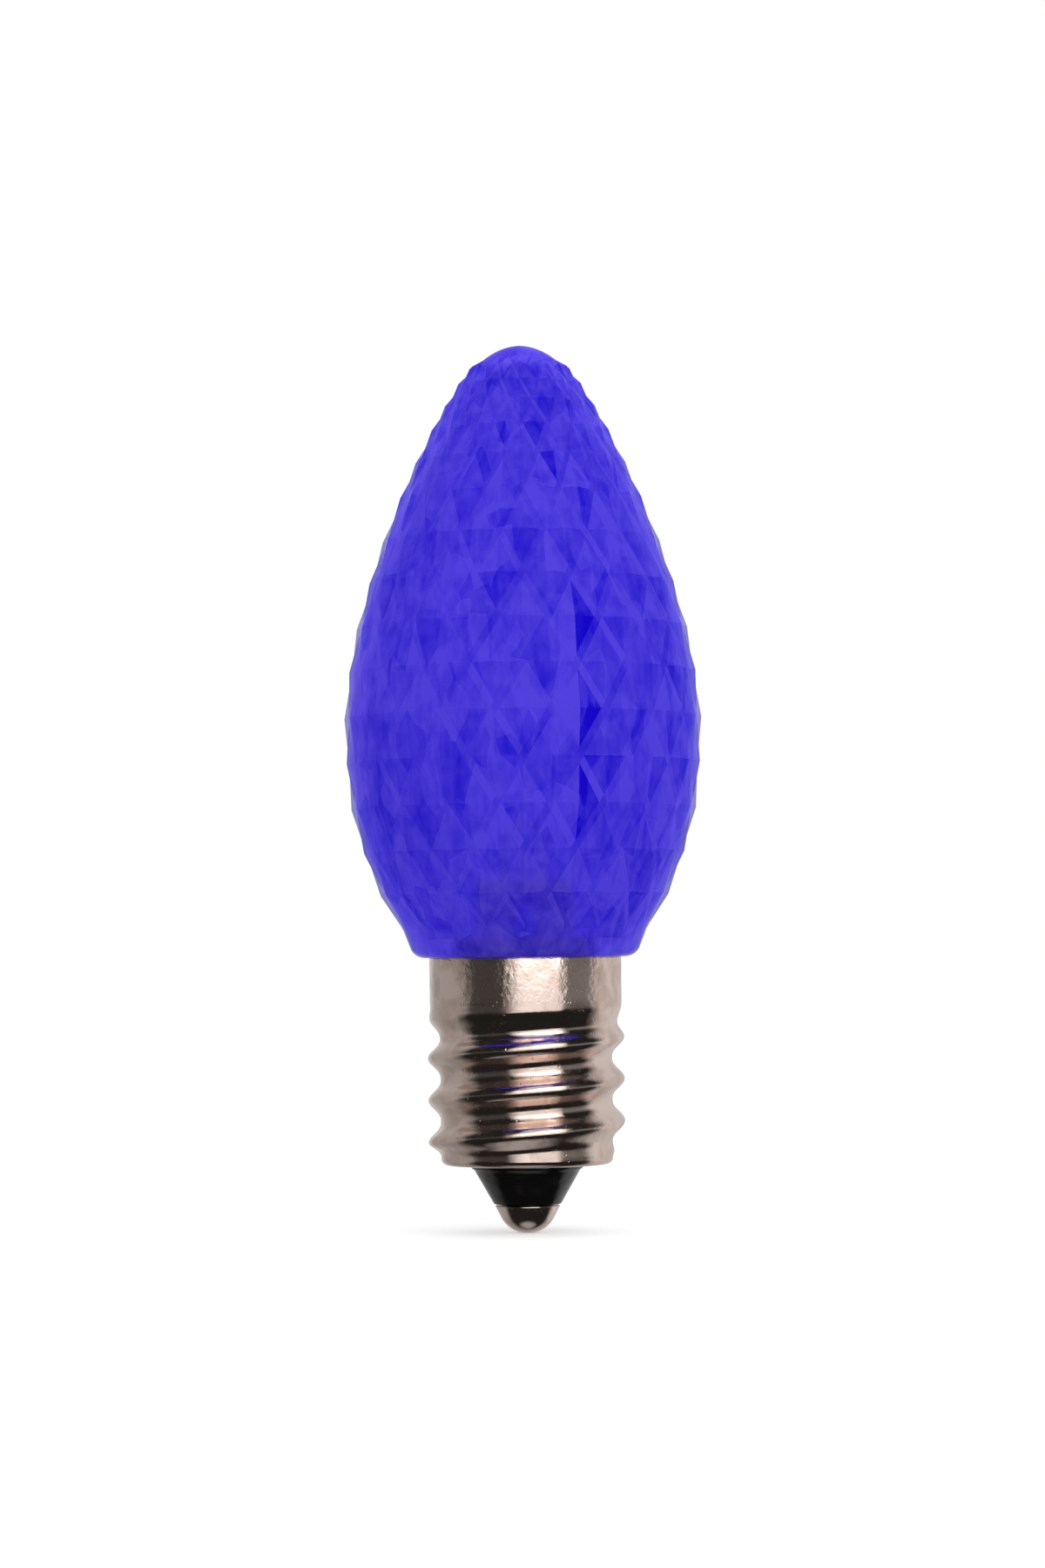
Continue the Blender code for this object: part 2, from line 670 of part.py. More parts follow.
def side_wire_levels():
    """Heights of the side wire's bend and of its end, which share out the room under the board."""
    room = board_bottom - disc_top
    return [board_bottom - share * room for share in (WIRE_BEND_START, WIRE_BEND_END, WIRE_END)]


def build_side_wire(material):
    """Bare wire from the board that bends out to the shell's inner wall."""
    bend_top, bend_bottom, end = side_wire_levels()
    wall = fit_radius - SIDE_WIRE_RADIUS
    path = bpy.data.curves.new("side_wire", "CURVE")
    path.dimensions = "3D"
    path.bevel_depth = SIDE_WIRE_RADIUS
    path.bevel_resolution = 2
    path.use_fill_caps = True
    spline = path.splines.new("POLY")
    points = [(SIDE_WIRE_OFFSET, board_top)]
    middle = (bend_top + bend_bottom) / 2
    start = (SIDE_WIRE_OFFSET, bend_top)
    finish = (wall, bend_bottom)
    points += curve(start, (SIDE_WIRE_OFFSET, middle), (wall, middle), finish, WIRE_BEND_STEPS)
    points.append((wall, end))
    spline.points.add(len(points) - 1)
    for point, (x, z) in zip(spline.points, points):
        point.co = (x, 0.0, z, 1.0)
    path.materials.append(material)
    wire = bpy.data.objects.new("side_wire", path)
    bpy.context.scene.collection.objects.link(wire)
    return wire


def build_shell_solder(material):
    """Drop of solder where the side wire ends at the shell's inner wall."""
    end = side_wire_levels()[2]
    centre = (fit_radius - SOLDER_RADIUS, 0.0, end - CLEARANCE - SOLDER_RADIUS)
    bm = bmesh.new()
    bmesh.ops.create_icosphere(bm, subdivisions=2, radius=SOLDER_RADIUS, matrix=Matrix.Translation(centre))
    return add_object("shell_solder", bm, material, smooth_angle=radians(60))


clear_scene()
cutter_material = make_material("cutter", (0.5, 0.5, 0.5), 0.5)
blue_lens = make_material("blue_lens", (0.045, 0.024, 0.68), 0.12, transmission=0.7)
nickel = make_material("nickel_plate", (0.66, 0.61, 0.57), 0.2, metallic=1.0)
black_glass = make_material("black_glass", (0.006, 0.006, 0.006), 0.08)
black_plastic = make_material("black_plastic", (0.02, 0.02, 0.022), 0.45)
clear_resin = make_material("clear_resin", (0.8, 0.82, 0.9), 0.05, transmission=0.9)
tinned_wire = make_material("tinned_wire", (0.7, 0.7, 0.7), 0.25, metallic=1.0)
board_green = make_material("board_laminate", (0.03, 0.16, 0.07), 0.5)
resistor_coat = make_material("resistor_coat", (0.5, 0.36, 0.2), 0.55)
solder = make_material("solder", (0.6, 0.6, 0.62), 0.3, metallic=1.0)

build_lens(blue_lens)
build_screw_shell(nickel)
build_insulator(black_glass)
build_contact(nickel)
build_holder(black_plastic)
build_led(clear_resin)
build_led_leads(tinned_wire)
build_board(board_green)
build_resistor(resistor_coat)
build_diode(black_plastic)
build_side_wire(tinned_wire)
build_shell_solder(solder)
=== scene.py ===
"""Looks of the LED christmas light bulb: faceted lens, nickel screw base, glass cone and contact.

The bulb stands on a pale floor in a white studio. Lengths are in metres and colours are linear.
"""

from math import cos, pi, radians, sin, tan, tau

import bmesh
import bpy
import numpy as np
from mathutils import Matrix, Vector


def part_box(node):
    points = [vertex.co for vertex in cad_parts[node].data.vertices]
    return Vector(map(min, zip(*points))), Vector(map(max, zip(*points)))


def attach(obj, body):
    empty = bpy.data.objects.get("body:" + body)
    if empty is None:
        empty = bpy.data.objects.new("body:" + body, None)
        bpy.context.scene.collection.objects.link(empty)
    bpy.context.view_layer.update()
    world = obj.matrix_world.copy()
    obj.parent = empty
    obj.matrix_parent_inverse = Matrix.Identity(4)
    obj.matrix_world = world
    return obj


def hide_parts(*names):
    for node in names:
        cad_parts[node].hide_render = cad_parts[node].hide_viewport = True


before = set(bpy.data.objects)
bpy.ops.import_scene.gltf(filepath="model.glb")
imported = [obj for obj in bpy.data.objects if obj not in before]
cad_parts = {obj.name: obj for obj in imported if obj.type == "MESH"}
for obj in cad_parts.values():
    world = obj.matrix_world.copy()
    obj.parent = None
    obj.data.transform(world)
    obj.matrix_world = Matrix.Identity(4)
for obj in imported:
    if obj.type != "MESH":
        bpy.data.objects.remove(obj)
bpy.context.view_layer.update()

# Photograph: 1200 by 1800 pixels, 19 of them to a millimetre
PHOTO_HEIGHT = 1800
PIXELS_PER_METRE = 19000

# Camera: the eye is level with the lens's underside, and the sight height is in the picture's middle
SIGHT_HEIGHT = 0.01047
EYE_HEIGHT = 0.0005
CAMERA_DISTANCE = 0.25
CAMERA_ROLL = radians(-0.577)
CAMERA_SHIFT_RIGHT = -0.00016
CAMERA_CLIP_START = 0.01
SENSOR = 36.0
FRONT_AZIMUTH = -pi / 2

# Meshes: the angles past which an edge is sharp, and the radius below which a ring is a single vertex
SMOOTH_ANGLE = radians(35)
LENS_SMOOTH_ANGLE = radians(30)
SHELL_SMOOTH_ANGLE = radians(50)
AXIS_RADIUS = 1e-9

# Lens outline. A handle is how far a curve keeps to its direction at one end
LENS_WIDEST = 0.0138
LENS_RADIUS = 0.0108
TIP_RADIUS = 0.0040
TIP_ANGLE = radians(53)
SHOULDER_HANDLE = 0.0042
UPPER_HANDLE = 0.0077
LOWER_HANDLE = 0.0064
FOOT_HANDLE = 0.0045
FOOT_LEAN = radians(30.5)
LENS_CORNER = 0.0010
UNDERSIDE_RADIUS = 0.00603

# Lens foot and inside
SEAT_RADIUS = 0.00585
REBATE_DEPTH = 0.0001
LENS_WALL = 0.0010
LENS_FLOOR = 0.0012
NECK_WALL = 0.0010
NECK_CLEARANCE = 0.0003

# Lens divisions
CURVE_STEPS = 60
LENS_COLUMNS = 120
INNER_RINGS = 60
CROWN_RINGS = 10
CORNER_RINGS = 10

# Facets: raised diamonds between flat grooves. Peaks and crossings stand in columns half a facet apart
FACETS_AROUND = 20
COLUMNS = 2 * FACETS_AROUND
FACET_HALF_HEIGHT = 0.00275
FACET_ASPECT = 2.1
FACETS_START = 0.0023
CROWN_RADIUS = 0.0019
GROOVE_WIDTH = 0.00047
GROOVE_SHARE = 0.17
GROOVE_DEPTH = 0.0002

# Tones of the lens's faces, from 0 for deep to 1 for pale. They are painted light and shade: upper facets
# and falling grooves painted lighter, lower facets and rising grooves painted darker, with a random spread,
# and one column of painted shade
UPPER_FACET_PAINTED_LIGHT = 0.79
LOWER_FACET_PAINTED_SHADE = 0.57
FALLING_GROOVE_PAINTED_LIGHT = 0.86
RISING_GROOVE_PAINTED_SHADE = 0.60
CROSSING_TONE = 0.68
CELL_SPREAD = 0.09
FACE_SPREAD = 0.11
# The column of facets with painted shade on their right, the shade it adds, and the heights it spans
PAINTED_SHADE_COLUMN = 2
PAINTED_SHADE_COLUMN_TONE = -0.7
PAINTED_SHADE_COLUMN_LOW = 0.004
PAINTED_SHADE_COLUMN_HIGH = 0.024
TONE_SEED = 7

# Screw shell
SHELL_THICKNESS = 0.0003
SHELL_BAND_RADIUS = 0.0058
SHELL_FOOT_RADIUS = 0.0052
SHELL_BEND = 0.0001
BAND_HEIGHT = 0.0024
THREAD_CREST_RADIUS = 0.00595
THREAD_ROOT_RADIUS = 0.0052
THREAD_PITCH = 0.00254
THREAD_FIRST_CREST = 0.0048
THREAD_RUN_IN = 0.0025
THREAD_RUN_OUT = 0.0009
CREST_SHARPNESS = 1.35
RIM_ROUND = 0.00006
RIM_SEAM = 0.00003
RIM_STEPS = 4
SHELL_COLUMNS = 144
SHELL_LEVELS = 150
BEND_STEPS = 8

# Insulator and contact
CONE_ANGLE = radians(29.7)
CONE_RADIUS = 0.0034
CONE_SEAM = 0.00008
CONE_EDGE = 0.0003
LEAD_HOLE = 0.00055
CONTACT_THICKNESS = 0.0003
CONTACT_DOME = 0.0018
CONTACT_FLAT_RADIUS = 0.00045
CONTACT_LIP = 0.00008
CONE_LEVELS = 20
DOME_STEPS = 24
TURN_SEGMENTS = 128

# Noise: the range that most of its values lie in
NOISE_RANGE = (0.3, 0.7)
NO_STRETCH = (1.0, 1.0, 1.0)
UPRIGHT_STREAKS = (1.0, 1.0, 0.25)
UPRIGHT_PATCHES = (1.0, 1.0, 0.4)
LEVEL_RIPPLES = (1.0, 1.0, 2.0)

# Lens plastic. From one place across to the next, farther left, its faces' painted light and shade fade
# part way to one tone
LENS_IOR = 1.07
LENS_CLEAR_SHARE = 0.52
LENS_DEEP = (0.014, 0.003, 0.73)
LENS_PALE = (0.160, 0.104, 0.95)
LENS_ROUGHNESS = (0.02, 0.06)
LENS_FADE_FROM = 0.003
LENS_FADE_TO = -0.006
LENS_FADE_SHARE = 0.5
CLOUD_SIZE = 0.0013
CLOUD_TONE = 0.15
PATCH_SIZE = 0.0012
PATCH_TONE = 0.17
STREAK_SIZE = 0.00045
STREAK_TONE = 0.1
STREAK_DEPTH = 0.000006
SMEAR_SIZE = 0.0007
WAVE_SIZE = 0.0015
WAVE_DEPTH = 0.00002

# Nickel plate
NICKEL_BRIGHT = (0.79, 0.64, 0.57)
NICKEL_WARM = (0.64, 0.49, 0.42)
HAZE_SIZE = 0.0014
HAZE_RANGE = (0.38, 0.68)
HAZE_ROUGHNESS = (0.09, 0.2)
GRAIN_SIZE = 0.00022
GRAIN_RANGE = (0.55, 0.75)
GRAIN_ROUGHNESS = 0.12
GRAIN_DEPTH = 0.000003
DENT_SIZE = 0.0011
DENT_DEPTH = 0.00001
PIT_CELL = 0.0005
PIT_SHARE = 0.16
PIT_DEPTH = 0.000012
SCUFF_SIZE = 0.0004
SCUFF_DEPTH = 0.00003
SCUFF_EDGE = 0.0004

# Black glass
GLASS_IOR = 1.52
GLASS_CLEAN = (0.004, 0.004, 0.004)
GLASS_DUSTY = (0.012, 0.010, 0.009)
GLASS_ROUGHNESS = (0.06, 0.2)
DUST_SIZE = 0.0009
DUST_RANGE = (0.5, 0.8)
RIPPLE_SIZE = 0.0012
RIPPLE_DEPTH = 0.00004

# Inner pieces: the mottling's size over the grain's, and how far it moves the roughness
MOTTLE_TO_GRAIN = 4
ROUGHNESS_SPREAD = 0.2

# Studio levels, where white is 1
ROOM_LEVEL = 1.0
WALL_LEFT = 0.4
WALL_RIGHT = 0.72
BACK_LEVEL = 0.65
DOWN_LEVEL = 0.5
CARD_LOW = 0.018
CARD_LOWEST = 0.4
CARD_LEFT = 0.06
CARD_RIGHT = 0.2
CARD_HIGH = 0.015
SOFTBOX_LEVEL = 1.12
SOFTBOX_MIDDLE_LEVEL = 2.3
SOFTBOX_TOP_LEVEL = 0.75

# Studio angles, to the right of the front and up
CARD_TURN = radians(7)
SOFTBOX_TURN = radians(18)
SOFTBOX_LEFT = radians(-46)
SOFTBOX_LEFT_INNER = radians(-18)
SOFTBOX_RIGHT_INNER = radians(21)
SOFTBOX_RIGHT = radians(32)
SOFTBOX_LOW = radians(-14)
SOFTBOX_HIGH = radians(80)

# Studio edges, as parts of a unit direction: up, to the right, or toward the card or the softbox
CARD_EDGE = 0.16
CARD_SOFTNESS = 0.2
CARD_REACH = 0.6
CARD_ACROSS = (-0.3, 0.7)
CARD_LOW_RISE = (-0.3, 0.0)
CARD_HIGH_RISE = (0.1, 0.5)
CARD_LOWEST_RISE = (-1.0, -0.9)
SOFTBOX_EDGE = 0.12
SOFTBOX_AHEAD = (0.0, 0.2)
SOFTBOX_LEAST_AHEAD = 0.05
SOFTBOX_MIDDLE_RISE = (0.0, 0.3)
SOFTBOX_TOP_RISE = (0.5, 0.85)
WALL_ACROSS = (-1.0, 1.0)
WALL_BACK = (-1.0, -0.85)
WALL_DOWN_RISE = (-1.0, -0.3)

# Key light and floor
KEY_TURN = radians(30)
KEY_RISE = radians(40)
KEY_DISTANCE = 0.45
KEY_WIDTH = 0.25
KEY_HEIGHT = 0.2
KEY_POWER = 0.25
FLOOR_SIZE = 6.0
FLOOR_GREY = 0.75
FLOOR_GLOW = 0.4
FLOOR_MOTTLE = 0.02
FLOOR_ROUGHNESS = (0.85, 0.95)

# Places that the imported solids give
lens_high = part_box("lens")[1]
neck_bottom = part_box("lens")[0].z
shell_low, shell_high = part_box("screw_shell")
cone_low, cone_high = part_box("insulator")
contact_low, contact_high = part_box("centre_contact")
band_low = shell_high.z - BAND_HEIGHT
neck_radius = SHELL_BAND_RADIUS - SHELL_THICKNESS - NECK_CLEARANCE


def add_object(name, bm, material, smooth_angle=SMOOTH_ANGLE):
    """Turns a bmesh into a named object. With no smooth angle its faces keep their own shading."""
    bmesh.ops.recalc_face_normals(bm, faces=bm.faces)
    mesh = bpy.data.meshes.new(name)
    bm.to_mesh(mesh)
    bm.free()
    if smooth_angle is not None:
        mesh.shade_smooth()
        mesh.set_sharp_from_angle(angle=smooth_angle)
    mesh.materials.append(material)
    item = bpy.data.objects.new(name, mesh)
    bpy.context.scene.collection.objects.link(item)
    return item


def stand_for(item, node):
    """The piece rides on the only body and replaces its solid."""
    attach(item, "root")
    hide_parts(node)


def arc(centre_radius, centre_height, radius, start, end, steps):
    """Points on an arc in the profile plane, as radius and height."""
    angles = np.linspace(start, end, steps + 1)
    return [(centre_radius + radius * cos(a), centre_height + radius * sin(a)) for a in angles]


def curve(start, first_handle, second_handle, end, steps):
    """Points on a cubic curve in the profile plane."""
    t = np.linspace(0.0, 1.0, steps + 1)[:, None]
    corners = [np.array(p) for p in (start, first_handle, second_handle, end)]
    weights = ((1 - t) ** 3, 3 * (1 - t) ** 2 * t, 3 * (1 - t) * t**2, t**3)
    return [tuple(p) for p in sum(w * p for w, p in zip(weights, corners))]


def ring(bm, radius, height, count, start=0.0):
    """One ring of vertices, or a single one on the axis."""
    if radius < AXIS_RADIUS:
        return [bm.verts.new((0.0, 0.0, height))]
    azimuths = [start + tau * k / count for k in range(count)]
    return [bm.verts.new((radius * cos(a), radius * sin(a), height)) for a in azimuths]


def join_rings(bm, rings):
    """Faces between each ring and the next. Either may be a single vertex."""
    for lower, upper in zip(rings, rings[1:]):
        count = max(len(lower), len(upper))
        for k in range(count):
            after = (k + 1) % count
            corners = [lower[k % len(lower)], lower[after % len(lower)]]
            corners += [upper[after % len(upper)], upper[k % len(upper)]]
            bm.faces.new(list(dict.fromkeys(corners)))


def join_coarse_to_fine(bm, coarse, fine):
    """Joins a ring to a finer one, whose count is a multiple of its own."""
    step = len(fine) // len(coarse)
    middle = step // 2
    for k, corner in enumerate(coarse):
        following = coarse[(k + 1) % len(coarse)]
        points = [fine[(k * step + i) % len(fine)] for i in range(step + 1)]
        for i in range(middle):
            bm.faces.new((corner, points[i], points[i + 1]))
        bm.faces.new((corner, points[middle], points[middle + 1], following))
        for i in range(middle + 1, step):
            bm.faces.new((following, points[i], points[i + 1]))


def lens_corner():
    """The rounded edge of the lens's underside, as radius and height."""
    return arc(UNDERSIDE_RADIUS, LENS_CORNER, LENS_CORNER, -pi / 2, -FOOT_LEAN, CURVE_STEPS)


def lens_side(foot):
    """From the rounded edge's end by the widest place to the shoulder, and round the tip."""
    widest = (LENS_RADIUS, LENS_WIDEST)
    tip_centre = lens_high.z - TIP_RADIUS
    shoulder = (TIP_RADIUS * sin(TIP_ANGLE), tip_centre + TIP_RADIUS * cos(TIP_ANGLE))
    above_foot = (foot[0] + FOOT_HANDLE * sin(FOOT_LEAN), foot[1] + FOOT_HANDLE * cos(FOOT_LEAN))
    below_widest = (LENS_RADIUS, LENS_WIDEST - LOWER_HANDLE)
    above_widest = (LENS_RADIUS, LENS_WIDEST + UPPER_HANDLE)
    below_shoulder = (
        shoulder[0] + SHOULDER_HANDLE * cos(TIP_ANGLE),
        shoulder[1] - SHOULDER_HANDLE * sin(TIP_ANGLE),
    )
    lower = curve(foot, above_foot, below_widest, widest, CURVE_STEPS)
    upper = curve(widest, above_widest, below_shoulder, shoulder, CURVE_STEPS)
    tip = arc(0.0, tip_centre, TIP_RADIUS, pi / 2 - TIP_ANGLE, pi / 2, CURVE_STEPS)
    return lower[1:] + upper[1:] + tip[1:]


class LensOutline:
    """The lens's outside in the profile plane, with lengths measured from the underside to the tip."""

    def __init__(self):
        corner = lens_corner()
        self.points = np.array(corner + lens_side(corner[-1]))
        steps = np.diff(self.points, axis=0)
        self.lengths = np.concatenate([[0.0], np.cumsum(np.hypot(steps[:, 0], steps[:, 1]))])
        along = np.gradient(self.points, self.lengths, axis=0)
        along /= np.hypot(along[:, 0], along[:, 1])[:, None]
        self.inward = np.stack([-along[:, 1], along[:, 0]], axis=1)
        self.foot = self.lengths[len(corner) - 1]
        self.end = self.lengths[-1]

    def at(self, length, depth=0.0):
        """Radius and height at a length along the outline, a depth below the surface."""
        point = [np.interp(length, self.lengths, self.points[:, k]) for k in (0, 1)]
        normal = [np.interp(length, self.lengths, self.inward[:, k]) for k in (0, 1)]
        return point[0] + depth * normal[0], point[1] + depth * normal[1]

    def half_facet(self, length):
        """Half the width of a facet at a length along the outline."""
        return self.at(length)[0] * pi / FACETS_AROUND

    def length_at_height(self, height, depth):
        """Where the surface at a depth reaches a height."""
        lengths = np.linspace(self.foot, self.end, 4 * CURVE_STEPS)
        heights = [self.at(length, depth)[1] for length in lengths]
        return float(np.interp(height, heights, lengths))


def facet_rows(outline):
    """Lengths of the rows of crossings. Facets keep their shape, so rows are closer where it narrows."""
    rows = [FACETS_START]
    while True:
        half_height = min(FACET_HALF_HEIGHT, FACET_ASPECT * outline.half_facet(rows[-1]))
        following = rows[-1] + half_height
        if following >= outline.end or outline.at(following)[0] < CROWN_RADIUS:
            return rows
        rows.append(following)


def lens_vertex(bm, outline, length, column, depth):
    """A vertex at a length along the outline. Columns count from the front to the right."""
    radius, height = outline.at(length, depth)
    azimuth = FRONT_AZIMUTH + column * pi / FACETS_AROUND
    return bm.verts.new((radius * cos(azimuth), radius * sin(azimuth), height))


def groove_inset(outline, rows, row):
    """Share of a cell's half diagonals that its grooves take up in this row."""
    half_width = outline.half_facet(rows[row])
    neighbours = rows[max(row - 1, 0)], rows[min(row + 1, len(rows) - 1)]
    half_height = (neighbours[1] - neighbours[0]) / 2
    to_edge = half_width * half_height / np.hypot(half_width, half_height)
    return min(GROOVE_WIDTH / 2 / to_edge, GROOVE_SHARE)


def facet_cells(bm, outline, rows, first_ring, last_ring):
    """Corners of each cell. The first and last row hold half cells, whose sides end in the rings."""
    last = len(rows) - 1
    cells = {}
    for row, length in enumerate(rows):
        for column in range((row + 1) % 2, COLUMNS, 2):
            share = 1 - groove_inset(outline, rows, row)
            cell = {}
            if row > 0:
                below = length - share * (length - rows[row - 1])
                cell["below"] = lens_vertex(bm, outline, below, column, GROOVE_DEPTH)
            if row < last:
                above = length + share * (rows[row + 1] - length)
                cell["above"] = lens_vertex(bm, outline, above, column, GROOVE_DEPTH)
            if 0 < row < last:
                cell["right"] = lens_vertex(bm, outline, length, column + share, GROOVE_DEPTH)
                cell["left"] = lens_vertex(bm, outline, length, column - share, GROOVE_DEPTH)
            else:
                edge_ring = first_ring if row == 0 else last_ring
                cell["right"] = edge_ring[(column + 1) % COLUMNS]
                cell["left"] = edge_ring[(column - 1) % COLUMNS]
            cells[row, column] = cell
    return cells


class Toned:
    """Adds faces to the lens's mesh, each with a tone of painted light and shade, as no two facets pass on
    the same share of light.
    """

    def __init__(self, bm):
        self.bm = bm
        # The tone layer holds each face's painted light and shade
        self.layer = bm.faces.layers.float.new("tone")
        self.random = np.random.default_rng(TONE_SEED)

    def spread(self, amount):
        """A random amount, up or down."""
        return amount * self.random.standard_normal()

    def face(self, corners, tone):
        """One face, near the given tone."""
        face = self.bm.faces.new(corners)
        face[self.layer] = tone + self.spread(FACE_SPREAD)


def add_pyramid(toned, cell, peak, right_painted_shade):
    """Four facets round a peak: the upper two painted lighter and the lower two painted darker. The two on
    the right have a tone added, which is painted shade in one column.
    """
    cell_tone = toned.spread(CELL_SPREAD)
    lower = LOWER_FACET_PAINTED_SHADE + cell_tone
    upper = UPPER_FACET_PAINTED_LIGHT + cell_tone
    toned.face((cell["below"], cell["right"], peak), lower + right_painted_shade)
    toned.face((cell["right"], cell["above"], peak), upper + right_painted_shade)
    toned.face((cell["above"], cell["left"], peak), upper)
    toned.face((cell["left"], cell["below"], peak), lower)


def add_grooves(toned, cells, row, column):
    """The strips of groove from a cell to the two cells next to it in the row above. Falling strips are
    painted lighter and rising strips darker.
    """
    cell = cells[row, column]
    right = cells[row + 1, (column + 1) % COLUMNS]
    left = cells[row + 1, (column - 1) % COLUMNS]
    toned.face((cell["right"], right["below"], right["left"], cell["above"]), FALLING_GROOVE_PAINTED_LIGHT)
    toned.face((cell["left"], cell["above"], left["right"], left["below"]), RISING_GROOVE_PAINTED_SHADE)


def add_crossings(toned, cells, last):
    """The small faces where grooves cross."""
    for row in range(1, last):
        for column in range(row % 2, COLUMNS, 2):
            left = cells[row, (column - 1) % COLUMNS]["right"]
            right = cells[row, (column + 1) % COLUMNS]["left"]
            below = cells[row - 1, column]["above"]
            above = cells[row + 1, column]["below"]
            toned.face((left, below, right, above), CROSSING_TONE)


def add_facets(bm, outline, rows, first_ring, last_ring):
    """The faceted outside, and its faces' tones of painted light and shade. One column has painted shade on
    the right of its lower peaks.
    """
    toned = Toned(bm)
    last = len(rows) - 1
    cells = facet_cells(bm, outline, rows, first_ring, last_ring)
    for (row, column), cell in cells.items():
        left, right = cell["left"], cell["right"]
        if row == 0:
            toned.face((left, first_ring[column], right, cell["above"]), CROSSING_TONE)
        elif row == last:
            toned.face((right, last_ring[column], left, cell["below"]), CROSSING_TONE)
        else:
            peak = lens_vertex(bm, outline, rows[row], column, 0.0)
            # Painted shade on the right of this column's lower peaks
            dark = column == PAINTED_SHADE_COLUMN and PAINTED_SHADE_COLUMN_LOW < peak.co.z < PAINTED_SHADE_COLUMN_HIGH
            add_pyramid(toned, cell, peak, PAINTED_SHADE_COLUMN_TONE if dark else 0.0)
        if row < last:
            add_grooves(toned, cells, row, column)
    add_crossings(toned, cells, last)
    return toned.layer


def lens_ring(bm, radius, height):
    """A ring of the lens's smooth stretches, finer than the rings that the facets end in."""
    return ring(bm, radius, height, LENS_COLUMNS, FRONT_AZIMUTH)


def add_crown(bm, outline, last_row, last_ring):
    """The smooth crown, whose rings fade from the grooves' depth to the tip."""
    rings = []
    for share in np.linspace(0.0, 1.0, CROWN_RINGS + 1)[1:-1]:
        length = last_row + share * (outline.end - last_row)
        rings.append(lens_ring(bm, *outline.at(length, (1 - share) * GROOVE_DEPTH)))
    rings.append(lens_ring(bm, 0.0, lens_high.z))
    join_coarse_to_fine(bm, last_ring, rings[0])
    join_rings(bm, rings)


def add_foot_and_inside(bm, outline, first_ring):
    """The rounded foot, the rebate over the shell's rim, the neck, and the inside from floor to tip."""
    lengths = np.linspace(outline.foot, 0.0, CORNER_RINGS)
    rings = [lens_ring(bm, *outline.at(length)) for length in lengths]
    corners = (
        (SEAT_RADIUS, 0.0),
        (SEAT_RADIUS, REBATE_DEPTH),
        (neck_radius, REBATE_DEPTH),
        (neck_radius, neck_bottom),
        (neck_radius - NECK_WALL, neck_bottom),
        (neck_radius - NECK_WALL, LENS_FLOOR),
    )
    rings += [lens_ring(bm, *corner) for corner in corners]
    depth = GROOVE_DEPTH + LENS_WALL
    start = outline.length_at_height(LENS_FLOOR, depth)
    lengths = np.linspace(start, outline.end, INNER_RINGS + 1)[:-1]
    rings += [lens_ring(bm, *outline.at(length, depth)) for length in lengths]
    rings.append(lens_ring(bm, 0.0, lens_high.z - depth))
    join_coarse_to_fine(bm, first_ring, rings[0])
    join_rings(bm, rings)


def make_lens(material):
    """The lens with its true facets, and with a smooth crown, foot, neck and inside of many more faces."""
    outline = LensOutline()
    rows = facet_rows(outline)
    bm = bmesh.new()
    first_ring = ring(bm, *outline.at(rows[0], GROOVE_DEPTH), COLUMNS, FRONT_AZIMUTH)
    last_ring = ring(bm, *outline.at(rows[-1], GROOVE_DEPTH), COLUMNS, FRONT_AZIMUTH)
    tones = add_facets(bm, outline, rows, first_ring, last_ring)
    faceted = set(bm.faces)
    add_crown(bm, outline, rows[-1], last_ring)
    add_foot_and_inside(bm, outline, first_ring)
    bmesh.ops.recalc_face_normals(bm, faces=bm.faces)
    for face in bm.faces:
        face.smooth = face not in faceted
        if face.smooth:
            face[tones] = CROSSING_TONE
    item = add_object("faceted_lens", bm, material, smooth_angle=None)
    item.data.set_sharp_from_angle(angle=LENS_SMOOTH_ANGLE)
    stand_for(item, "lens")


def smooth_step(low, high, value):
    """0 below low and 1 above high, with a smooth change between them."""
    t = np.clip((value - low) / (high - low), 0.0, 1.0)
    return t * t * (3 - 2 * t)


def shell_radius(azimuth, height):
    """Outside of the rolled sheet: plain band, rounded right-hand thread and drawn-in foot."""
    turns = azimuth / tau - (height + THREAD_FIRST_CREST) / THREAD_PITCH
    wave = (0.5 + 0.5 * cos(tau * turns)) ** CREST_SHARPNESS
    thread = THREAD_ROOT_RADIUS + (THREAD_CREST_RADIUS - THREAD_ROOT_RADIUS) * wave
    run_in = smooth_step(0.0, THREAD_RUN_IN, band_low - height)
    radius = SHELL_BAND_RADIUS + (thread - SHELL_BAND_RADIUS) * run_in
    foot_height = shell_low.z + SHELL_BEND + SHELL_THICKNESS
    run_out = smooth_step(0.0, THREAD_RUN_OUT, foot_height + THREAD_RUN_OUT - height)
    return radius + (SHELL_FOOT_RADIUS - radius) * run_out


def thread_rings(bm, foot_height, inset):
    """Rings down the thread from the band to the foot, a given inset within the sheet's outside."""
    rings = []
    for height in np.linspace(band_low, foot_height, SHELL_LEVELS):
        verts = []
        for column in range(SHELL_COLUMNS):
            azimuth = tau * column / SHELL_COLUMNS
            radius = shell_radius(azimuth, height) - inset
            verts.append(bm.verts.new((radius * cos(azimuth), radius * sin(azimuth), height)))
        rings.append(verts)
    return rings


